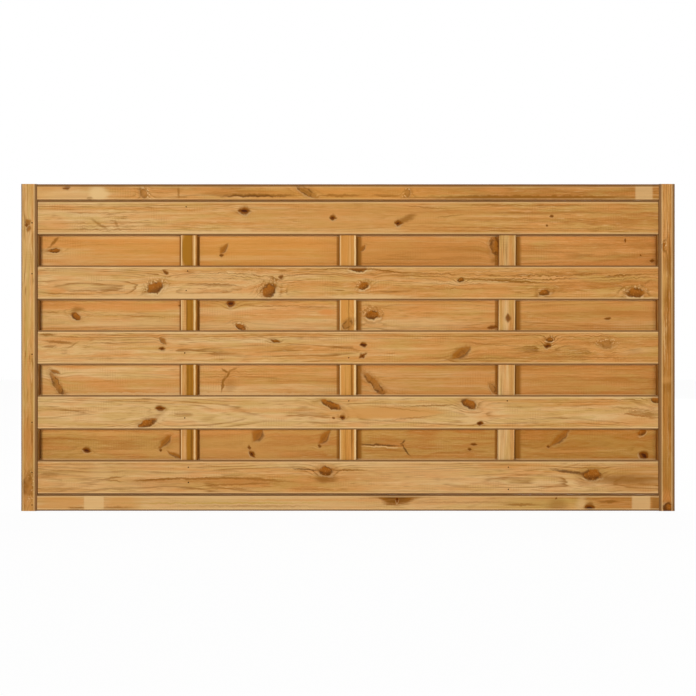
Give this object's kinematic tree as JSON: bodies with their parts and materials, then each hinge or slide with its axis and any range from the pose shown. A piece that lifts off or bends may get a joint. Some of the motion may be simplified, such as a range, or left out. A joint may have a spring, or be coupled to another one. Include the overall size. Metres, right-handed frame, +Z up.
{
  "type": "privacy fence panel",
  "caption": "Framed softwood fence panel with level boards on both faces, each face covering the other's gaps, fixed either side of upright battens.",
  "frame": {"origin": "foot of the left stile's outer face, where the panel meets its post, in the middle of the panel's depth", "axes": "+X along the panel from the left post to the right one, +Y from the front to the back, +Z up; the front looks along -Y"},
  "size_m": [1.8, 0.045, 0.9],
  "materials": {
    "frame_timber": "planed, pressure treated",
    "front_board_timber": "planed, pressure treated",
    "rear_board_timber": "planed, pressure treated",
    "batten_timber": "planed, pressure treated"
  },
  "bodies": {
    "root": {"left_stile": "frame_timber", "right_stile": "frame_timber", "top_rail": "frame_timber", "bottom_rail": "frame_timber", "front_board_1": "front_board_timber", "front_board_2": "front_board_timber", "front_board_3": "front_board_timber", "front_board_4": "front_board_timber", "front_board_5": "front_board_timber", "rear_board_1": "rear_board_timber", "rear_board_2": "rear_board_timber", "rear_board_3": "rear_board_timber", "rear_board_4": "rear_board_timber", "batten_1": "batten_timber", "batten_2": "batten_timber", "batten_3": "batten_timber"}
  },
  "joints": []
}
